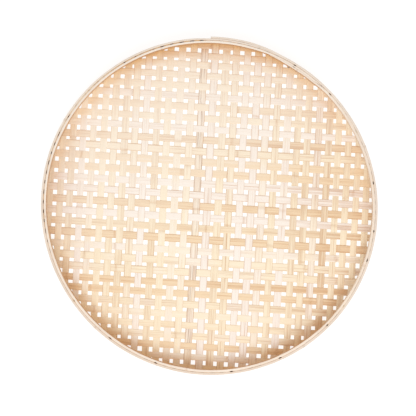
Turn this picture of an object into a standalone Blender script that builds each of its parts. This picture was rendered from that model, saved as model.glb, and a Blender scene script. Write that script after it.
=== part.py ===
"""Round winnowing basket: an open plain weave of bamboo splints clamped between two lath hoops.

Lengths are in metres and +Z is up. The origin is the middle of the foot ring, on the surface that the
basket stands on. Warp splints run along Y and weft splints along X, and WEAVE_TURN then turns the whole
weave a little in its hoops. Every splint is a flat strip that is woven on the base, bends up at the rim
and ends between the hoops. Each hoop is a lath whose skived ends lap, and one brad holds each lap.
"""
import math

import bmesh
import bpy
from mathutils import Vector

# Driving dimensions
OUTER_DIAMETER = 0.420
HEIGHT = 0.038
OUTER_HOOP_THICKNESS = 0.0020
INNER_HOOP_THICKNESS = 0.0027
INNER_HOOP_HEIGHT = 0.014
CLEARANCE = 0.0002

# The hoops are hand bent, so they are a little longer along one diameter
OVAL_SHARE = 0.0075
OVAL_ANGLE = math.radians(133)

# Splints. PITCH is the spacing in the middle, and SHIFT the share of it that the rows lie off-centre
SPLINT_WIDTH = 0.009
SPLINT_THICKNESS = 0.0005
WARP_COUNT, WARP_PITCH, WARP_SHIFT = 28, 0.0138, 0.26
WEFT_COUNT, WEFT_PITCH, WEFT_SHIFT = 27, 0.0141, -0.03
CROWDING = 0.034
WEAVE_TURN = math.radians(-3.5)
WEAVE_LIFT = 0.001
WALL_LIFT = 0.0005

# The weave's middle surface: a flat base, a bend and an upright wall
BASE_HEIGHT = 0.0026
BEND_RADIUS = 0.007
BEND_STEPS = 3
WALL_STEPS = 2
CHORD_ALLOWANCE = 0.0002
WALL_RADIUS = OUTER_DIAMETER / 2 - OUTER_HOOP_THICKNESS - WALL_LIFT - SPLINT_THICKNESS / 2 - CLEARANCE
BASE_RADIUS = WALL_RADIUS - BEND_RADIUS
BEND_LENGTH = BEND_RADIUS * math.pi / 2
WALL_LENGTH = HEIGHT - 0.0006 - BASE_HEIGHT - BEND_RADIUS

# Hoops
HOOP_SEGMENTS = 112
LAP_GAP = 0.0003
LAP_TAPER = math.radians(9)
LAP_SHARE = 0.76
INNER_HOOP_RADIUS = WALL_RADIUS - WALL_LIFT - SPLINT_THICKNESS / 2 - CHORD_ALLOWANCE - CLEARANCE
INNER_HOOP_FOOT = HEIGHT - INNER_HOOP_HEIGHT
OUTER_LAP = (math.radians(72), math.radians(89))
INNER_LAP = (math.radians(52), math.radians(68))

# Brads
BRAD_HEAD_RADIUS = 0.0016
BRAD_HEAD_HEIGHT = 0.0006
BRAD_SHANK_RADIUS = 0.0006
BRAD_HOLE_RADIUS = 0.0009
BRAD_SIDES = 16

LATH_GROUP = "full_thickness"


def clear_scene():
    for thing in list(bpy.data.objects):
        bpy.data.objects.remove(thing, do_unlink=True)


def new_collection(name):
    made = bpy.data.collections.new(name)
    bpy.context.scene.collection.children.link(made)
    return made


def new_material(name, colour, roughness, metallic=0.0):
    made = bpy.data.materials.new(name)
    made.use_nodes = True
    shader = made.node_tree.nodes["Principled BSDF"]
    shader.inputs["Base Color"].default_value = (*colour, 1.0)
    shader.inputs["Roughness"].default_value = roughness
    shader.inputs["Metallic"].default_value = metallic
    return made


def add_object(name, mesh, material, collection, parent):
    thing = bpy.data.objects.new(name, mesh)
    mesh.materials.append(material)
    collection.objects.link(thing)
    thing.parent = parent
    return thing


def out_of_round(x, y):
    """Stretch a plan position along OVAL_ANGLE and shrink it across, as the hoops are bent."""
    ux, uy = math.cos(OVAL_ANGLE), math.sin(OVAL_ANGLE)
    along = x * ux + y * uy
    across = -x * uy + y * ux
    along *= 1 + OVAL_SHARE
    across *= 1 - OVAL_SHARE
    return along * ux - across * uy, along * uy + across * ux


def grid_ribbon(name, rows, material, collection, parent):
    """Open strip, one face wide, through rows of two edge points each."""
    bm = bmesh.new()
    last = len(rows) - 1
    bmesh.ops.create_grid(bm, x_segments=last, y_segments=1, size=1.0)
    for vert in bm.verts:
        row = round((vert.co.x + 1) / 2 * last)
        side = 0 if vert.co.y < 0 else 1
        vert.co = rows[row][side]
    mesh = bpy.data.meshes.new(name)
    bm.to_mesh(mesh)
    bm.free()
    mesh.shade_smooth()
    return add_object(name, mesh, material, collection, parent)


def add_solidify(thing, thickness):
    solid = thing.modifiers.new("thickness", "SOLIDIFY")
    solid.thickness = thickness
    solid.offset = 0.0
    solid.use_even_offset = True
    return solid


def weave_profile(reach, lift):
    """Radius and height at a length reach from the weave's middle, lift towards the inside."""
    if reach <= BASE_RADIUS:
        return reach, BASE_HEIGHT + lift
    bent = reach - BASE_RADIUS
    if bent < BEND_LENGTH:
        angle = bent / BEND_RADIUS
        arm = BEND_RADIUS - lift
        return BASE_RADIUS + arm * math.sin(angle), BASE_HEIGHT + BEND_RADIUS - arm * math.cos(angle)
    return WALL_RADIUS - lift, BASE_HEIGHT + BEND_RADIUS + bent - BEND_LENGTH


def weave_point(u, v, lift):
    """Where the flat weave's point (u, v) lies once the weave is turned and pressed into its hoops."""
    radius, height = weave_profile(math.hypot(u, v), lift)
    angle = math.atan2(v, u) + WEAVE_TURN
    x, y = out_of_round(radius * math.cos(angle), radius * math.sin(angle))
    return Vector((x, y, height))


def flat_crossing(a, b):
    """Whether the whole crossing of two splints, a and b off the middle, lies on the flat base."""
    half = SPLINT_WIDTH / 2
    return math.hypot(abs(a) + half, abs(b) + half) < BASE_RADIUS - CLEARANCE


def woven_crossing(warp, weft):
    """Whether two splints interlace: beyond the last of these, warps lie outside and wefts inside."""
    outer_warp = abs(warp) + WARP_PITCH
    outer_weft = abs(weft) + WEFT_PITCH
    return flat_crossing(outer_warp, weft) and flat_crossing(warp, outer_weft)


def end_reaches():
    """Lengths from the weave's middle at which every splint is creased: the bend, then the wall."""
    bend = [BASE_RADIUS + BEND_LENGTH * step / BEND_STEPS for step in range(BEND_STEPS + 1)]
    foot = bend[-1]
    return bend + [foot + WALL_LENGTH * step / WALL_STEPS for step in range(1, WALL_STEPS + 1)]


def splint_rows(centre, crossings, layer):
    """Rows of (across, along, lift) pairs for a splint; crossings holds (along, lift) pairs."""
    edges = (centre - SPLINT_WIDTH / 2, centre + SPLINT_WIDTH / 2)
    rows = [[(edge, along, lift) for edge in edges] for along, lift in crossings]
    for reach in end_reaches():
        row = [(edge, math.sqrt(reach ** 2 - edge ** 2), layer * WALL_LIFT) for edge in edges]
        rows.append(row)
        rows.insert(0, [(across, -along, lift) for across, along, lift in row])
    return rows


def line_offsets(count, pitch, shift):
    """Places of the splints one way, which lie a little closer together towards the rim."""
    even = [(index - (count - 1) / 2 + shift) * pitch for index in range(count)]
    return [place * (1 - CROWDING * (place / BASE_RADIUS) ** 2) for place in even]


def crossing_lift(warp_index, weft_index, warp, weft):
    """How far the warp stands above the weave's middle at a crossing; the weft stands as far below."""
    if not woven_crossing(warp, weft):
        return -WEAVE_LIFT
    return WEAVE_LIFT if (warp_index + weft_index) % 2 else -WEAVE_LIFT


def add_splint(name, rows, along_x, material, collection, parent):
    points = []
    for row in rows:
        if along_x:
            points.append([weave_point(along, across, lift) for across, along, lift in row])
        else:
            points.append([weave_point(across, along, lift) for across, along, lift in row])
    splint = grid_ribbon(name, points, material, collection, parent)
    add_solidify(splint, SPLINT_THICKNESS)
    split = splint.modifiers.new("facets", "TRIANGULATE")
    split.quad_method = "SHORTEST_DIAGONAL"
    return splint


def add_weave(collection, parent):
    warp_material = new_material("warp_bamboo", (0.90, 0.75, 0.57), 0.55)
    weft_material = new_material("weft_bamboo", (0.85, 0.67, 0.46), 0.55)
    warps = line_offsets(WARP_COUNT, WARP_PITCH, WARP_SHIFT)
    wefts = line_offsets(WEFT_COUNT, WEFT_PITCH, WEFT_SHIFT)
    for i, warp in enumerate(warps):
        crossings = [(weft, crossing_lift(i, j, warp, weft)) for j, weft in enumerate(wefts)
                     if flat_crossing(warp, weft)]
        rows = splint_rows(warp, crossings, -1)
        add_splint(f"warp_splint_{i + 1:02d}", rows, False, warp_material, collection, parent)
    for j, weft in enumerate(wefts):
        crossings = [(warp, -crossing_lift(i, j, warp, weft)) for i, warp in enumerate(warps)
                     if flat_crossing(warp, weft)]
        rows = splint_rows(weft, crossings, 1)
        add_splint(f"weft_splint_{j + 1:02d}", rows, True, weft_material, collection, parent)


def ease(share):
    share = min(max(share, 0.0), 1.0)
    return share * share * (3 - 2 * share)


def lath_station(turn, lap, face, thickness, outward):
    """Middle radius and thickness share of a hoop's lath at a turn measured from its tucked end.

    face is the radius of the side that both the tucked end and the hoop lie against, and outward is
    1 where the lapping end lies outside the tucked one, or -1 where it lies inside.
    """
    lapped = thickness * LAP_SHARE
    tucked = 1 - ease((turn - lap) / LAP_TAPER)
    over = ease((turn - 2 * math.pi + LAP_TAPER) / LAP_TAPER)
    thin = max(tucked, over)
    depth = thickness + (lapped - thickness) * thin
    middle = depth / 2 + over * (lapped + LAP_GAP)
    return face + outward * middle, 1 - thin


def add_hoop(name, face, thickness, outward, foot, lap_span, material, collection, parent):
    """A lath wound once round, its skived ends lapping over lap_span."""
    start, end = lap_span
    lap = end - start
    rows, shares = [], []
    total = 2 * math.pi + lap
    for step in range(HOOP_SEGMENTS + 1):
        turn = total * step / HOOP_SEGMENTS
        radius, share = lath_station(turn, lap, face, thickness, outward)
        x, y = out_of_round(radius * math.cos(start + turn), radius * math.sin(start + turn))
        rows.append([Vector((x, y, foot)), Vector((x, y, HEIGHT))])
        shares.append(share)
    hoop = grid_ribbon(name, rows, material, collection, parent)
    group = hoop.vertex_groups.new(name=LATH_GROUP)
    for vert in hoop.data.vertices:
        group.add([vert.index], nearest_share(vert.co, rows, shares), "REPLACE")
    solid = add_solidify(hoop, thickness)
    solid.vertex_group = LATH_GROUP
    solid.thickness_vertex_group = LAP_SHARE
    return hoop


def nearest_share(point, rows, shares):
    flat = point.xy
    best = min(range(len(rows)), key=lambda k: (rows[k][0].xy - flat).length)
    return shares[best]


def brad_profile(length):
    """Half outline of a brad, from the crown of its head down to its point, which is at -length."""
    dome = []
    for step in range(4):
        angle = math.radians(30 * step)
        dome.append((BRAD_HEAD_RADIUS * math.sin(angle), BRAD_HEAD_HEIGHT * math.cos(angle)))
    point_start = -length + 2 * BRAD_SHANK_RADIUS
    return dome + [(BRAD_SHANK_RADIUS, 0.0), (BRAD_SHANK_RADIUS, point_start), (0.0, -length)]


def add_brad(name, seat, direction, length, material, collection, parent):
    """A domed brad whose head rests at seat; direction is the way its head faces."""
    outline = brad_profile(length)
    mesh = bpy.data.meshes.new(name)
    mesh.from_pydata([(x, 0.0, z) for x, z in outline],
                     [(k, k + 1) for k in range(len(outline) - 1)], [])
    brad = add_object(name, mesh, material, collection, parent)
    screw = brad.modifiers.new("turned", "SCREW")
    screw.steps = BRAD_SIDES
    screw.render_steps = BRAD_SIDES
    screw.use_merge_vertices = True
    screw.merge_threshold = 0.00001
    brad.location = seat
    brad.rotation_euler = direction.to_track_quat("Z", "Y").to_euler()
    return brad


def drill(hoop, seat, direction, depth, cutters):
    """Cut the brad's hole through a hoop with a hidden cylinder."""
    bm = bmesh.new()
    bmesh.ops.create_cone(bm, cap_ends=True, segments=BRAD_SIDES, radius1=BRAD_HOLE_RADIUS,
                          radius2=BRAD_HOLE_RADIUS, depth=depth)
    mesh = bpy.data.meshes.new(hoop.name + "_drill")
    bm.to_mesh(mesh)
    bm.free()
    cutter = bpy.data.objects.new(hoop.name + "_drill", mesh)
    cutters.objects.link(cutter)
    cutter.location = seat
    cutter.rotation_euler = direction.to_track_quat("Z", "Y").to_euler()
    cutter.hide_render = True
    cutter.display_type = "WIRE"
    hole = hoop.modifiers.new("brad_hole", "BOOLEAN")
    hole.operation = "DIFFERENCE"
    hole.object = cutter


def nail_lap(name, hoop, lap_span, face, thickness, outward, height, material, collection, cutters, parent):
    """Drill a hoop's lap in its middle and set a brad in it from the lap's outer or inner side."""
    angle = sum(lap_span) / 2
    lap_depth = 2 * thickness * LAP_SHARE + LAP_GAP
    x, y = out_of_round(math.cos(angle), math.sin(angle))
    direction = Vector((x, y, 0)).normalized() * outward
    x, y = out_of_round((face + outward * (lap_depth + LAP_GAP)) * math.cos(angle),
                        (face + outward * (lap_depth + LAP_GAP)) * math.sin(angle))
    seat = Vector((x, y, height))
    drill(hoop, seat, direction, 6 * lap_depth, cutters)
    add_brad(name, seat, direction, lap_depth, material, collection, parent)


def build():
    clear_scene()
    parts = new_collection("winnowing_basket")
    cutters = new_collection("cutters")
    basket = bpy.data.objects.new("winnowing_basket", None)
    parts.objects.link(basket)
    add_weave(parts, basket)
    outer_material = new_material("outer_hoop_bamboo", (0.86, 0.70, 0.52), 0.5)
    inner_material = new_material("inner_hoop_bamboo", (0.88, 0.69, 0.48), 0.5)
    steel = new_material("brad_steel", (0.55, 0.54, 0.52), 0.35, 1.0)
    outer_face = OUTER_DIAMETER / 2 - OUTER_HOOP_THICKNESS
    outer = add_hoop("outer_hoop", outer_face, OUTER_HOOP_THICKNESS, 1, 0.0, OUTER_LAP,
                     outer_material, parts, basket)
    inner = add_hoop("inner_hoop", INNER_HOOP_RADIUS, INNER_HOOP_THICKNESS, -1, INNER_HOOP_FOOT, INNER_LAP,
                     inner_material, parts, basket)
    nail_lap("outer_lap_brad", outer, OUTER_LAP, outer_face, OUTER_HOOP_THICKNESS, 1, HEIGHT / 2,
             steel, parts, cutters, basket)
    nail_lap("inner_lap_brad", inner, INNER_LAP, INNER_HOOP_RADIUS, INNER_HOOP_THICKNESS, -1,
             (HEIGHT + INNER_HOOP_FOOT) / 2, steel, parts, cutters, basket)


build()
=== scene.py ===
"""Looks of the round winnowing basket: split bamboo, woven open and clamped between two lath hoops.

Every splint is rebuilt as a thin strip with rounded edges, which waves over and under its neighbours, bends
up at the rim and ends between the hoops. The hoops are rebuilt as scraped laths with skived, lapped ends.
The splints' places and the hoops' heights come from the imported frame; the other sizes repeat the CAD's or
are chosen for the looks. Lengths are in metres, turns in radians, and +Z is up.
"""

import math
from dataclasses import dataclass

import bpy
import numpy as np
from mathutils import Matrix, Vector


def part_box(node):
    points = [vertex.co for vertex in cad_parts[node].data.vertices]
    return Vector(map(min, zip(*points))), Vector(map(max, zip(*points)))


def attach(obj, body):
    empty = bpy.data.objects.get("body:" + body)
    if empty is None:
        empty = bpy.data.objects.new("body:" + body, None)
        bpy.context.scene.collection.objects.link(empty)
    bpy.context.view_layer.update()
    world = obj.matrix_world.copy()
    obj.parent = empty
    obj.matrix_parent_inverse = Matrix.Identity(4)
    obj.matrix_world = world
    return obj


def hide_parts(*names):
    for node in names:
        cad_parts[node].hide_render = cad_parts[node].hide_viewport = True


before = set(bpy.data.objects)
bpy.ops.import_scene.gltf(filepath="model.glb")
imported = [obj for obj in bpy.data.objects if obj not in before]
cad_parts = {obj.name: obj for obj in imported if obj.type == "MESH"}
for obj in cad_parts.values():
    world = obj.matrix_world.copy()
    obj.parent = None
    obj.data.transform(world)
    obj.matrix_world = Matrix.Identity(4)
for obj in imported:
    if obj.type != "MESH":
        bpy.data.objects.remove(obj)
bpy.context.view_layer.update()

# The hoops. They close the CAD's clearances, so that they press on the splints between them
OUTER_HOOP_THICKNESS = 0.0025
INNER_HOOP_THICKNESS = 0.0027
OUTER_FACE = 0.2075
INNER_FACE = 0.2066
HOOP_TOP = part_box("outer_hoop")[1].z
INNER_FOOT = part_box("inner_hoop")[0].z
OVAL_SHARE = 0.0075
OVAL_ANGLE = math.radians(133)

# The hoops' laps. The shares are of a lath's thickness
OUTER_LAP = (math.radians(72), math.radians(89))
INNER_LAP = (math.radians(52), math.radians(68))
LAP_TAPER = math.radians(9)
LAP_SHARE = 0.76
FEATHER_SHARE = 0.05
GAP_TURN = 0.06

# How the laths are made: their rings of points, rounded corners, and the waves that scraping leaves in
# their faces and upper edges, as waves in a turn with their least and most height
HOOP_RINGS = 900
CORNER_RADIUS = 0.0004
CORNER_STEPS = 3
SCRAPE_WAVES = ((5, 9, 17, 31, 53), 0.00002, 0.00005)
CREST_WAVES = ((3, 7, 13, 23), 0.00005, 0.0001)
FACE_SPACING = 0.1

# The bamboo's own nodes, as rings across its fibres
NODE_SPACING = 0.28
NODE_SWELL = 0.0003
SWELL_LENGTH = 0.003
RING_LENGTH = 0.0012

# The hoops' upper edges. They lean together over the splints' ends, gape a little along the back left, and
# gape wide at a few single places between two splints' ends, given in degrees
HOOP_LIP = 0.00033
LIP_LENGTH = 0.003
LIP_FLARE = 1.45
OPEN_LIP = (math.radians(89), math.radians(200))
OPEN_LIP_FADES = (0.07, 0.3)
OPEN_LIP_SHARE = 0.83
LIP_BITES = (-82, -63, -47, -36, -19, -7, 8, 19, 28, 41, 58, 214, 231, 252)
LIP_BITE_SHARE = 1.4
LIP_BITE_WIDTH = 0.008
CLEAR_TURN = 0.04

# The weave, as the CAD makes it. A reach is a distance from the middle in the weave while it is still flat
WEAVE_TURN = math.radians(-3.5)
SPLINT_WIDTH = 0.009
SPLINT_THICKNESS = 0.0005
BASE_HEIGHT = 0.0026
BASE_CEILING = 0.004
BEND_RADIUS = 0.007
BEND_LENGTH = BEND_RADIUS * math.pi / 2
WALL_RADIUS = 0.20705
BASE_RADIUS = WALL_RADIUS - BEND_RADIUS
END_REACH = BASE_RADIUS + BEND_LENGTH + HOOP_TOP - BASE_HEIGHT - BEND_RADIUS
CLAMP_REACH = BASE_RADIUS + BEND_LENGTH + INNER_FOOT - BASE_HEIGHT - BEND_RADIUS

# How the splints lie in the looks: on each other in the weave, and pressed flat between the hoops
WAVE_LIFT = 0.00025
FLAT_SHARE = 0.3
CLAMPED_LIFT = 0.00022
CLAMPED_THICKNESS = 0.00042
CLAMP_START = CLAMP_REACH - 0.004
CLAMP_LENGTH = 0.006
END_FILL = 0.96
# Where the painted shade of the wall starts on the splints, and over how long it grows to full
RIM_SHADE_START = BASE_RADIUS - 0.014
RIM_SHADE_LENGTH = 0.022

# The splints that lie wholly in the bend and the wall, which the CAD leaves out
EDGE_SPLINTS = 3
EDGE_MARGIN = 0.012

# How far hand work makes the splints differ
PLACE_SPREAD = 0.0005
WIDTH_SHARES = (0.98, 1.09)
RIM_NARROWING = 0.15
SLOPE_SPREAD = 0.004
WEFT_SKEW = 0.007
MOST_SWAY = 0.0004
SWAY_LENGTH = 0.055
TRIM_SPREAD = 0.0003

# Where a wave may start, on a splint or round a hoop
PHASES = (0, 6.28)

# A splint's section, from the middle of an edge round: shares of half its width and half its thickness
EDGE_SECTION = ((1, 0), (0.985, 0.6), (0.93, 0.88), (0.5, 0.97))
SECTION = ([(-side, up) for side, up in EDGE_SECTION] + [(side, up) for side, up in EDGE_SECTION[:0:-1]]
           + [(side, -up) for side, up in EDGE_SECTION] + [(-side, -up) for side, up in EDGE_SECTION[:0:-1]])
RINGS_PER_METRE = 480
FEWEST_RINGS = 24
FIBRE_UV = "fibre"

# Single splints whose colour stands out, by kind and by place among the CAD's, counted from 0
ODD_SPLINTS = {("warp_splint", 12): {"streak": 1.0},
               ("warp_splint", 24): {"tone": 0.25, "tint": 0.6},
               ("weft_splint", 13): {"tone": 0.36, "tint": 0.8},
               ("weft_splint", 18): {"tone": 0.5, "streak": 0.8},
               ("weft_splint", 19): {"tone": 0.34, "tint": 0.75, "streak": 0.6},
               ("weft_splint", 22): {"tone": 0.36, "tint": 0.7}}

# The stage
FLOOR_SIZE = 6.0
FLOOR_DROP = 0.0002

rng = np.random.default_rng(417)


def ease(share):
    share = np.clip(share, 0, 1)
    return share * share * (3 - 2 * share)


def bell(distance, width):
    return np.exp(-(distance / width) ** 2)


def from_ring(along, start):
    """Distance to the nearest of the bamboo's own nodes."""
    return np.abs((along / NODE_SPACING + start) % 1 - 0.5) * NODE_SPACING


def out_of_round(x, y, share=OVAL_SHARE):
    """The plan position of a round basket's point in the slightly oval hoops."""
    ux, uy = math.cos(OVAL_ANGLE), math.sin(OVAL_ANGLE)
    along = (x * ux + y * uy) * (1 + share)
    across = (-x * uy + y * ux) * (1 - share)
    return along * ux - across * uy, along * uy + across * ux


def pressed(u, v, lift):
    """Where points of the flat weave lie once it is turned and pressed up between its hoops."""
    reach = np.hypot(u, v)
    bend = np.clip((reach - BASE_RADIUS) / BEND_RADIUS, 0, math.pi / 2)
    up_wall = np.maximum(reach - BASE_RADIUS - BEND_LENGTH, 0)
    arm = BEND_RADIUS - lift
    radius = np.minimum(reach, BASE_RADIUS) + arm * np.sin(bend)
    height = BASE_HEIGHT + BEND_RADIUS - arm * np.cos(bend) + up_wall
    angle = np.arctan2(v, u) + WEAVE_TURN
    x, y = out_of_round(radius * np.cos(angle), radius * np.sin(angle))
    return np.stack([x, y, height], axis=-1)


# ---------------------------------------------------------------- splints

@dataclass
class Splint:
    """One strip of the weave. centre is its distance from the weave's middle, in the flat weave."""

    name: str
    node: str
    kind: str
    is_warp: bool
    index: int
    centre: float
    width: float
    slope: float
    sway: float
    phase: float

    def line(self, along):
        return self.centre + self.slope * along + self.sway * np.sin(along / SWAY_LENGTH + self.phase)


def cad_centre(node, is_warp):
    """Distance of a CAD splint from the weave's middle, read from the part of the node on the flat base."""
    points = np.array([vert.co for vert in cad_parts[node].data.vertices])
    x, y = out_of_round(points[:, 0], points[:, 1], -OVAL_SHARE)
    side = WEAVE_TURN if is_warp else WEAVE_TURN + math.pi / 2
    across = (x * math.cos(side) + y * math.sin(side))[points[:, 2] < BASE_CEILING]
    return float(across.min() + across.max()) / 2


def lay_out(prefix, is_warp):
    """All splints one way, in order: the CAD's, and beyond them those that lie in the bend and wall."""
    nodes = sorted(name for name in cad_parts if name.startswith(prefix))
    centres = [cad_centre(name, is_warp) for name in nodes]
    first_pitch, last_pitch = centres[1] - centres[0], centres[-1] - centres[-2]
    made = []
    for index in range(-EDGE_SPLINTS, len(nodes) + EDGE_SPLINTS):
        inside = 0 <= index < len(nodes)
        if inside:
            nominal = centres[index]
        elif index < 0:
            nominal = centres[0] + index * first_pitch
        else:
            nominal = centres[-1] + (index - len(nodes) + 1) * last_pitch
        narrowed = 1 - RIM_NARROWING * (nominal / BASE_RADIUS) ** 2
        node = nodes[index] if inside else ""
        name = f"{prefix}_{'edge_' if not inside else ''}{index + EDGE_SPLINTS + 1:02d}"
        made.append(Splint(
            name=name, node=node, kind=prefix, is_warp=is_warp, index=index,
            centre=nominal + rng.uniform(-PLACE_SPREAD, PLACE_SPREAD),
            width=SPLINT_WIDTH * rng.uniform(*WIDTH_SHARES) * narrowed,
            slope=rng.uniform(-SLOPE_SPREAD, SLOPE_SPREAD) + (0 if is_warp else WEFT_SKEW),
            sway=rng.uniform(0.0, MOST_SWAY),
            phase=rng.uniform(*PHASES)))
    return [splint for splint in made if abs(splint.centre) + splint.width / 2 < END_REACH - EDGE_MARGIN]


def end_turns(splints):
    """Directions from the basket's middle in which the splints' ends lie, from -90 to 270 degrees."""
    turns = []
    for splint in splints:
        reach = math.sqrt(END_REACH ** 2 - splint.centre ** 2)
        for along in (-reach, reach):
            u, v = (splint.line(along), along) if splint.is_warp else (along, splint.line(along))
            turns.append((math.atan2(v, u) + WEAVE_TURN + math.pi / 2) % (2 * math.pi) - math.pi / 2)
    return np.sort(turns)


# The plan of the weave comes before the meshes, because the hoops' edges gape between the splints' ends
warps = lay_out("warp_splint", True)
wefts = lay_out("weft_splint", False)
ends = end_turns(warps + wefts)
between_ends = ((ends[1:] + ends[:-1]) / 2)[np.diff(ends) > CLEAR_TURN]
bites = [between_ends[np.abs(between_ends - math.radians(turn)).argmin()] for turn in LIP_BITES]


def lip_opening(angle):
    """How far the hoops' upper edges gape: 0 where they pinch the splints' ends."""
    turned = (angle + math.pi / 2) % (2 * math.pi) - math.pi / 2
    wide = ease((turned - OPEN_LIP[0]) / OPEN_LIP_FADES[0]) * ease((OPEN_LIP[1] - turned) / OPEN_LIP_FADES[1])
    bitten = sum(bell(turned - bite, LIP_BITE_WIDTH) for bite in bites)
    return np.maximum(OPEN_LIP_SHARE * wide, LIP_BITE_SHARE * np.minimum(bitten, 1))


def lip_shift(angle):
    """How far each hoop's upper edge leans into the channel between the hoops, or out of it."""
    return HOOP_LIP * (1 - LIP_FLARE * lip_opening(angle))


def crossings(splint, others):
    """Where a splint meets the others, along itself, and whether it lies on top there."""
    spots, sides = [], []
    for other in others:
        spots.append(float(other.line(splint.line(other.centre))))
        warp_on_top = (splint.index + other.index) % 2 == 1
        sides.append(1.0 if warp_on_top == splint.is_warp else -1.0)
    return np.array(spots), np.array(sides)


def wave(along, spots, sides):
    """From 1 on top of a crossing splint to -1 under one, flat where the two lie on each other."""
    before = np.clip(np.searchsorted(spots, along) - 1, 0, len(spots) - 2)
    share = (along - spots[before]) / (spots[before + 1] - spots[before])
    return sides[before] * (1 - 2 * ease((share - FLAT_SHARE) / (1 - 2 * FLAT_SHARE)))


def tube_faces(rings, around):
    """Quads of a closed tube of rings, and its two end faces."""
    ring, spot = np.meshgrid(np.arange(rings - 1), np.arange(around), indexing="ij")
    following = (spot + 1) % around
    quads = np.stack([ring * around + spot, ring * around + following,
                      (ring + 1) * around + following, (ring + 1) * around + spot], axis=-1)
    faces = quads.reshape(-1, 4).tolist()
    faces.append(list(range(around))[::-1])
    faces.append([(rings - 1) * around + spot for spot in range(around)])
    return faces


def tube_mesh(name, points, fibre, layers):
    """Closed mesh through rings of points. fibre holds metres along and across, layers values a point."""
    rings, around, _ = points.shape
    mesh = bpy.data.meshes.new(name)
    mesh.from_pydata(points.reshape(-1, 3).tolist(), [], tube_faces(rings, around))
    corners = np.empty(len(mesh.loops), dtype=np.int64)
    mesh.loops.foreach_get("vertex_index", corners)
    layer = mesh.uv_layers.new(name=FIBRE_UV)
    layer.data.foreach_set("uv", fibre.reshape(-1, 2)[corners].astype(np.float32).ravel())
    for layer_name, values in layers.items():
        shading = mesh.attributes.new(layer_name, "FLOAT", "POINT")
        shading.data.foreach_set("value", values.astype(np.float32).ravel())
    mesh.shade_smooth()
    mesh.update()
    return mesh


def splint_mesh(splint, others):
    spots, sides = crossings(splint, others)
    side, depth = np.array(SECTION, dtype=float).T
    end = END_REACH - rng.uniform(0.0, TRIM_SPREAD)
    farthest = np.sqrt(end ** 2 - splint.centre ** 2)
    rings = max(FEWEST_RINGS, int(2 * farthest * RINGS_PER_METRE))
    share = np.linspace(-1, 1, rings)[:, None]
    straight = splint.centre + side[None, :] * splint.width / 2
    towards = np.where(share < 0, -1, 1)
    tips = towards * np.sqrt(end ** 2 - straight ** 2)
    tips = towards * np.sqrt(end ** 2 - (straight + splint.line(tips) - splint.centre) ** 2)
    along = np.abs(share) * tips
    across = straight + splint.line(along) - splint.centre
    reach = np.hypot(across, along)
    # Mask of the painted shade of the wall: 0 on the base away from the wall, 1 from the bend up
    rim = ease((reach - RIM_SHADE_START) / RIM_SHADE_LENGTH)
    clamped = ease((reach - CLAMP_START) / CLAMP_LENGTH)
    pinched = ease((reach - END_REACH + LIP_LENGTH) / LIP_LENGTH)
    lift = wave(along, spots, sides) * (WAVE_LIFT + (CLAMPED_LIFT - WAVE_LIFT) * clamped) * (1 - pinched)
    thickness = SPLINT_THICKNESS + (CLAMPED_THICKNESS - SPLINT_THICKNESS) * clamped
    u, v = (across, along) if splint.is_warp else (along, across)
    channel = OUTER_FACE - INNER_FACE - 2 * lip_shift(np.arctan2(v, u) + WEAVE_TURN)
    thickness = thickness + (END_FILL * channel - thickness) * pinched
    lift = lift + depth[None, :] * thickness / 2
    points = pressed(u, v, lift)
    if splint.is_warp:
        points = points[:, ::-1]
        along, side, rim = along[:, ::-1], side[::-1], rim[:, ::-1]
    fibre = np.stack([along, np.broadcast_to(side * splint.width / 2, along.shape)], axis=-1)
    ring = bell(from_ring(along, splint.phase), RING_LENGTH)
    return tube_mesh(splint.name, points, fibre, {"rim": rim, "ring": ring})


def show(name, mesh, material, slot, **properties):
    """A piece of the basket, riding on its one body."""
    piece = bpy.data.objects.new(name, mesh)
    bpy.context.scene.collection.objects.link(piece)
    mesh.materials.append(material)
    for key, value in properties.items():
        piece[key] = float(value)
    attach(piece, "root")
    return piece


def add_splints(splints, others, material, slot, tone_spread):
    for splint in splints:
        mesh = splint_mesh(splint, others)
        looks = {"tone": rng.normal(0.5, tone_spread), "tint": rng.uniform(0, 1),
                 "seed": rng.uniform(0, 50), "streak": rng.uniform(0, 0.8)}
        looks.update(ODD_SPLINTS.get((splint.kind, splint.index), {}))
        piece = show(splint.name, mesh, material, slot, **looks)
        if splint.node:
            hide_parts(splint.node)


# ---------------------------------------------------------------- hoops

@dataclass
class Lath:
    """One hoop's lath, wound once round on its face and on over its own tucked end, at its lap.

    outward is 1 where its thickness lies outside its face and -1 where it lies inside. gap is the air between
    the lapped ends, skive the share of the climb that the tucked end's feather fills, and end_skive the share
    of its thickness that the other end loses.
    """

    name: str
    face: float
    thickness: float
    outward: int
    foot: float
    lap: tuple
    gap: float
    skive: float
    end_skive: float
    seed: int


def lath_stations(lath, turn):
    """Middle radius and depth of a lath wound once round, at turns measured from its tucked end."""
    lap = lath.lap[1] - lath.lap[0]
    lapped = lath.thickness * LAP_SHARE
    feather = lath.skive * LAP_TAPER
    skived = np.maximum(ease((turn + feather) / feather), FEATHER_SHARE)
    ending = 1 - lath.end_skive * ease((turn - 2 * math.pi - lap + LAP_TAPER) / LAP_TAPER)
    tucked = 1 - ease((turn - lap) / LAP_TAPER)
    over = ease((turn - 2 * math.pi + LAP_TAPER) / LAP_TAPER)
    depth = (lath.thickness + (lapped - lath.thickness) * np.maximum(tucked, over)) * skived * ending
    middle = depth / 2 + over * lapped + lath.gap * ease((turn - 2 * math.pi) / GAP_TURN)
    return lath.face + lath.outward * middle, depth


def rounded_section(corner, steps):
    """Points round a lath's section: side across and up, corner offsets across and up, and normal up."""
    points = []
    for quarter, (across, up) in enumerate(((1, -1), (1, 1), (-1, 1), (-1, -1))):
        for step in range(steps + 1):
            angle = math.radians(90 * (quarter - 1) + 90 * step / steps)
            points.append((across, up, corner * (math.cos(angle) - across), corner * (math.sin(angle) - up),
                           math.sin(angle)))
    return np.array(points)


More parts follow.
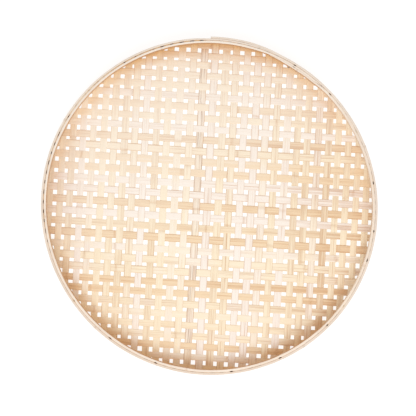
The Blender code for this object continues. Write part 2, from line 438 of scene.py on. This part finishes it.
def waviness(turn, draw, rates, low, high):
    """Sum of slow waves round a hoop, as hand scraping leaves them."""
    return sum(draw.uniform(low, high) * np.sin(turn * rate + draw.uniform(*PHASES)) for rate in rates)


def hoop_mesh(lath):
    start, end = lath.lap
    outward = lath.outward
    turn = np.linspace(-lath.skive * LAP_TAPER, 2 * math.pi + end - start, HOOP_RINGS)
    radius, depth = lath_stations(lath, turn)
    side_across, side_up, offset_across, offset_up, normal_up = rounded_section(CORNER_RADIUS, CORNER_STEPS).T
    draw = np.random.default_rng(lath.seed)
    scrape = waviness(turn, draw, *SCRAPE_WAVES)
    crest = waviness(turn, draw, *CREST_WAVES)
    ring_distance = from_ring(turn * lath.face, lath.seed / 10)
    swell = NODE_SWELL * bell(ring_distance, SWELL_LENGTH)
    outer_side = np.where(side_across * outward > 0, 1.0, 0.0)
    slim = np.minimum(depth / (3 * CORNER_RADIUS), 1)[:, None]
    across = radius[:, None] + side_across * depth[:, None] / 2 + offset_across * slim
    across = across + outward * outer_side * (scrape + swell)[:, None]
    angle = (start + turn)[:, None]
    across = across - outward * lip_shift(angle) * np.where(side_up > 0, 1 - outer_side, 0)
    height = np.where(side_up > 0, HOOP_TOP, lath.foot) + offset_up + np.where(side_up > 0, crest[:, None], 0)
    x, y = out_of_round(across * np.cos(angle), across * np.sin(angle))
    points = np.stack([x, y, height], axis=-1)
    along = np.broadcast_to(turn[:, None] * lath.face, height.shape)
    fibre = np.stack([along, height + side_across * FACE_SPACING], axis=-1)
    # Mask of painted shade on the laths: their sides take the shade colour, their upper and lower edges keep
    # their own.
    facing_up_or_down = np.broadcast_to(ease((np.abs(normal_up) - 0.2) / 0.6), height.shape)
    ring = np.broadcast_to(bell(ring_distance, RING_LENGTH)[:, None], height.shape)
    return tube_mesh(lath.name, points, fibre, {"rim": 1 - facing_up_or_down, "ring": ring})


# ---------------------------------------------------------------- materials

def linear(*rgb):
    """Linear colour of 0 to 255 sRGB values."""
    scaled = [value / 255 for value in rgb]
    return tuple(c / 12.92 if c <= 0.04045 else ((c + 0.055) / 1.055) ** 2.4 for c in scaled) + (1.0,)


class Nodes:
    """Small helper that adds and links shader nodes in one material."""

    def __init__(self, name):
        self.material = bpy.data.materials.new(name)
        self.material.use_nodes = True
        self.tree = self.material.node_tree
        self.shader = self.tree.nodes["Principled BSDF"]

    def add(self, kind, inputs=None, **settings):
        made = self.tree.nodes.new(kind)
        for key, value in settings.items():
            setattr(made, key, value)
        for key, value in (inputs or {}).items():
            self.feed(made.inputs[key], value)
        return made

    def feed(self, socket, value):
        if isinstance(value, bpy.types.NodeSocket):
            self.tree.links.new(value, socket)
        else:
            socket.default_value = value

    def math(self, operation, a, b=0.0, clamp=False):
        return self.add("ShaderNodeMath", {0: a, 1: b}, operation=operation, use_clamp=clamp).outputs[0]

    def mix(self, share, a, b, blend="MIX"):
        made = self.add("ShaderNodeMix", data_type="RGBA", blend_type=blend)
        for socket, value in zip((made.inputs[0], made.inputs[6], made.inputs[7]), (share, a, b)):
            self.feed(socket, value)
        return made.outputs[2]

    def span(self, value, low, high, to_low=0.0, to_high=1.0):
        made = self.add("ShaderNodeMapRange", {0: value, 1: low, 2: high, 3: to_low, 4: to_high},
                        interpolation_type="SMOOTHSTEP")
        return made.outputs[0]

    def own(self, name):
        """An object's custom property."""
        return self.add("ShaderNodeAttribute", attribute_type="OBJECT", attribute_name=name).outputs["Fac"]

    def layer(self, name):
        """A value held by the mesh."""
        return self.add("ShaderNodeAttribute", attribute_type="GEOMETRY", attribute_name=name).outputs["Fac"]

    def noise(self, vector, detail=2.0, roughness=0.5):
        made = self.add("ShaderNodeTexNoise", {"Vector": vector, "Scale": 1.0, "Detail": detail,
                                               "Roughness": roughness})
        return made.outputs["Fac"]

    def vector(self, x, y, z):
        return self.add("ShaderNodeCombineXYZ", {0: x, 1: y, 2: z}).outputs[0]


class Bamboo(Nodes):
    """Split bamboo: lengthwise fibres and broader streaks over one of three tints, with painted shade at the
    rim and to the right and painted light at the back left.

    Each piece has its own tone (0 brown to 1 pale), tint (0 to 1), streak (0 even to 1 cracked) and seed. Its
    mesh holds the layers rim, 1 on the wall and on a lath's faces where painted shade goes, and ring, 1 on a
    node of the bamboo.
    """

    def __init__(self, name, deep):
        super().__init__(name)
        self.deep = deep
        plan = self.add("ShaderNodeUVMap", uv_map=FIBRE_UV)
        fibre = self.add("ShaderNodeSeparateXYZ", {0: plan.outputs[0]})
        self.along, self.across = fibre.outputs[0], fibre.outputs[1]
        place = self.add("ShaderNodeSeparateXYZ", {0: self.add("ShaderNodeTexCoord").outputs["Object"]})
        self.x, self.y = place.outputs[0], place.outputs[1]
        self.seed, self.tone, self.streak = self.own("seed"), self.own("tone"), self.own("streak")
        self.fine = self.fibres(0.06, 0.0005, 2.0)
        self.broad = self.fibres(0.09, 0.0026, 2.0)
        patch = self.noise(self.vector(self.math("MULTIPLY", self.along, 22.0), self.seed, 3.0), 2.0)
        self.drift = self.swing(patch, 0.5)
        crack = self.fibres(0.035, 0.0011, 1.0)
        self.cracked = self.math("MULTIPLY", self.span(crack, 0.44, 0.37),
                                 self.span(self.streak, 0.82, 0.95, 0.0, 0.6))

    def fibres(self, length, width, detail):
        """Noise drawn out along the fibres, different on each piece."""
        return self.noise(self.vector(self.math("MULTIPLY", self.along, 1 / length),
                                      self.math("MULTIPLY", self.across, 1 / width), self.seed), detail)

    def swing(self, noise, size):
        """Noise about zero instead of a half."""
        return self.math("MULTIPLY", self.math("SUBTRACT", noise, 0.5), size)

    def times(self, colour, other):
        return self.mix(1.0, colour, other, "MULTIPLY")

    def tinted(self, tints):
        """One of the tints, drifting along the piece. A brown piece leans to the last one."""
        aged = self.math("MULTIPLY", self.math("SUBTRACT", 0.42, self.tone, clamp=True), 1.3)
        hue = self.math("ADD", self.math("ADD", self.own("tint"), self.drift), aged)
        colour = self.mix(self.span(hue, 0.25, 0.5), tints[0], tints[1])
        return self.mix(self.span(hue, 0.6, 0.85), colour, tints[2])

    def streaked_and_lit(self, colour, right_shading):
        """Pale and brown streaks, with painted shade that makes it browner towards the right and painted
        light that makes it paler towards the back left.
        """
        middling = self.fibres(0.12, 0.0012, 1.0)
        level = self.math("ADD", self.tone, self.swing(self.broad, 1.1))
        level = self.math("ADD", level, self.swing(self.fine, 0.9))
        level = self.math("ADD", level, self.swing(middling, 0.9))
        level = self.math("ADD", level, self.drift)
        # Painted shade: browner towards the right, by the given share; a share below 0 paints light there
        # instead.
        level = self.math("SUBTRACT", level, self.span(self.x, 0.03, 0.17, 0.0, right_shading))
        colour = self.mix(self.span(level, 0.52, -0.3, 0.0, 0.6), colour, self.deep)
        colour = self.mix(self.span(level, 0.6, 1.3, 0.0, 0.5), colour, linear(255, 248, 240))
        # Painted light: paler towards the back left, where the light falls.
        towards = self.math("SUBTRACT", self.y, self.math("MULTIPLY", self.x, 0.35))
        return self.mix(self.span(towards, -0.05, 0.15, 0.0, 0.5), colour, linear(254, 243, 230))

    def lined(self, colour):
        """Dark fibres, the dark edges of streaky splints, cracks, and the rings of the bamboo's nodes."""
        dark_fibre = self.math("MULTIPLY", self.span(self.fine, 0.4, 0.3),
                               self.span(self.streak, 0.2, 0.8, 0.12, 0.45))
        colour = self.mix(dark_fibre, colour, self.deep)
        edge = self.span(self.math("ABSOLUTE", self.across), 0.0033, 0.0043)
        edge = self.math("MULTIPLY", edge,
                         self.span(self.math("ADD", self.streak, self.drift), 0.4, 0.75, 0.0, 0.35))
        colour = self.mix(edge, colour, self.deep)
        colour = self.mix(self.cracked, colour, linear(190, 164, 145))
        return self.mix(self.math("MULTIPLY", self.layer("ring"), 0.4), colour, self.deep)

    def with_painted_shade(self, colour, rim_shade_colour, left_wall_shade):
        """Painted shade: darker near the far left wall, and browner on the wall, most at the back and least
        on the right.
        """
        # Painted shade near the far left wall, where the splints lie in the wall's shade.
        left = self.span(self.x, -0.15, -0.2, 0.0, left_wall_shade)
        colour = self.mix(left, colour, self.times(colour, linear(245, 242, 243)))
        # Painted shade on the wall and on the laths' sides, deepest at the back, a little deeper at the
        # front, and weak on the right.
        rim_shaded = self.times(colour, rim_shade_colour)
        back, front = self.span(self.y, 0.13, 0.2), self.span(self.y, -0.06, -0.16)
        back_shaded = self.times(rim_shaded, linear(232, 208, 172))
        rim_shaded = self.mix(self.math("MULTIPLY", back, self.layer("rim")), rim_shaded, back_shaded)
        rim_shaded = self.mix(front, rim_shaded, self.times(rim_shaded, linear(246, 232, 217)))
        # The painted shade fades out towards the right.
        rim_shade_share = self.math("MULTIPLY", self.layer("rim"), self.span(self.x, 0.12, 0.19, 1.0, 0.2))
        return self.mix(rim_shade_share, colour, rim_shaded)

    def surface(self, colour, roughness):
        """Satin, with raised fibres and rings and sunken cracks."""
        self.feed(self.shader.inputs["Base Color"], colour)
        self.feed(self.shader.inputs["Roughness"],
                  self.span(self.fine, 0.2, 0.8, roughness + 0.1, roughness - 0.08))
        self.feed(self.shader.inputs["Specular IOR Level"], 0.3)
        height = self.math("MULTIPLY", self.math("ADD", self.fine, self.broad), 0.6)
        height = self.math("ADD", height, self.layer("ring"))
        height = self.math("SUBTRACT", height, self.cracked)
        bump = self.add("ShaderNodeBump", {"Strength": 0.5, "Distance": 0.00025, "Height": height})
        self.feed(self.shader.inputs["Normal"], bump.outputs[0])


def bamboo(name, tints, deep, rim_shade_colour, right_shading=0.3, left_wall_shade=1.0, roughness=0.52):
    wood = Bamboo(name, deep)
    colour = wood.tinted(tints)
    colour = wood.streaked_and_lit(colour, right_shading)
    colour = wood.lined(colour)
    colour = wood.with_painted_shade(colour, rim_shade_colour, left_wall_shade)
    wood.surface(colour, roughness)
    return wood.material


def steel():
    n = Nodes("brad_steel")
    spots = n.noise(n.add("ShaderNodeTexCoord").outputs["Object"], 4.0)
    n.feed(n.shader.inputs["Base Color"], n.mix(n.span(spots, 0.45, 0.65), linear(168, 165, 160),
                                                 linear(122, 104, 86)))
    n.feed(n.shader.inputs["Metallic"], 1.0)
    n.feed(n.shader.inputs["Roughness"], n.span(spots, 0.3, 0.7, 0.3, 0.6))
    return n.material


def floor_material():
    """Near-white table that glows evenly, so that the gaps of the weave read as white."""
    n = Nodes("white_table")
    n.feed(n.shader.inputs["Base Color"], (0.3, 0.3, 0.3, 1))
    n.feed(n.shader.inputs["Roughness"], 0.9)
    n.feed(n.shader.inputs["Emission Color"], (1, 1, 1, 1))
    n.feed(n.shader.inputs["Emission Strength"], 0.8)
    return n.material


# ---------------------------------------------------------------- the basket

PINKISH, GOLDEN, TAN = linear(252, 240, 228), linear(252, 235, 206), linear(245, 218, 182)
DEEP = linear(200, 145, 92)
# The fourth colour of each bamboo is painted shade for the wall and for the laths' sides.
warp_bamboo = bamboo("warp_bamboo", (PINKISH, GOLDEN, GOLDEN), DEEP, linear(249, 238, 222))
weft_bamboo = bamboo("weft_bamboo", (PINKISH, GOLDEN, TAN), DEEP, linear(247, 233, 214))
# The outer lath gets painted light towards the right and the inner lath painted shade there; neither gets the
# painted shade at the far left.
outer_bamboo = bamboo("outer_hoop_bamboo", (linear(236, 215, 195),) * 3, linear(188, 160, 132),
                      linear(246, 230, 208), right_shading=-0.18, left_wall_shade=0.0, roughness=0.45)
inner_bamboo = bamboo("inner_hoop_bamboo", (linear(243, 224, 203),) * 3, linear(196, 152, 112),
                      linear(226, 198, 168), right_shading=0.15, left_wall_shade=0.0, roughness=0.45)

add_splints(warps, wefts, warp_bamboo, "warp_bamboo", 0.12)
add_splints(wefts, warps, weft_bamboo, "weft_bamboo", 0.14)

outer_lath = Lath("outer_lath", OUTER_FACE, OUTER_HOOP_THICKNESS, 1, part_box("outer_hoop")[0].z, OUTER_LAP,
                  gap=0.0004, skive=0.9, end_skive=0.0, seed=5)
inner_lath = Lath("inner_lath", INNER_FACE, INNER_HOOP_THICKNESS, -1, INNER_FOOT, INNER_LAP,
                  gap=0.0002, skive=0.7, end_skive=0.85, seed=8)
outer = show("outer_lath", hoop_mesh(outer_lath), outer_bamboo, "outer_hoop_bamboo",
             tone=0.85, tint=0.2, seed=3.1, streak=0.6)
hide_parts("outer_hoop")
inner = show("inner_lath", hoop_mesh(inner_lath), inner_bamboo, "inner_hoop_bamboo",
             tone=1.0, tint=0.4, seed=7.7, streak=0.5)
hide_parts("inner_hoop")

brad_steel = steel()
for name in ("outer_lap_brad", "inner_lap_brad"):
    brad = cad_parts[name]
    brad.data.materials.clear()
    brad.data.materials.append(brad_steel)


# ---------------------------------------------------------------- stage, light and camera

def add_floor():
    bpy.ops.mesh.primitive_plane_add(size=FLOOR_SIZE, location=(0, 0, -FLOOR_DROP))
    floor = bpy.context.object
    floor.name = "white_table"
    floor.data.materials.append(floor_material())


def add_area_light(name, position, size, power):
    data = bpy.data.lights.new(name, "AREA")
    data.shape = "DISK"
    data.size = size
    data.energy = power
    light = bpy.data.objects.new(name, data)
    bpy.context.scene.collection.objects.link(light)
    light.location = position
    light.rotation_euler = (-Vector(position)).to_track_quat("-Z", "Y").to_euler()


def set_world(strength):
    world = bpy.data.worlds.new("studio")
    world.use_nodes = True
    background = world.node_tree.nodes["Background"]
    background.inputs[0].default_value = (0.985, 0.99, 0.995, 1)
    background.inputs[1].default_value = strength
    bpy.context.scene.world = world


def add_camera():
    """Almost straight down, from slightly in front of the basket and to its right."""
    distance, tilt, lean = 2.15, math.radians(0.7), math.radians(1.0)
    aim = Vector((-0.00136, -0.0022, HOOP_TOP))
    back = Vector((math.sin(lean), -math.sin(tilt), math.cos(tilt) * math.cos(lean))).normalized()
    data = bpy.data.cameras.new("camera")
    data.sensor_width = 36.0
    data.lens = 149.3
    camera = bpy.data.objects.new("camera", data)
    bpy.context.scene.collection.objects.link(camera)
    right = Vector((0, 1, 0)).cross(back).normalized()
    turned = Matrix((right, back.cross(right), back)).transposed().to_4x4()
    camera.matrix_world = Matrix.Translation(aim + back * distance) @ turned
    bpy.context.scene.camera = camera


bpy.context.scene.view_settings.view_transform = "Standard"
add_floor()
set_world(0.73)
add_area_light("key", (0.1, -0.75, 1.6), 1.2, 12)
add_camera()
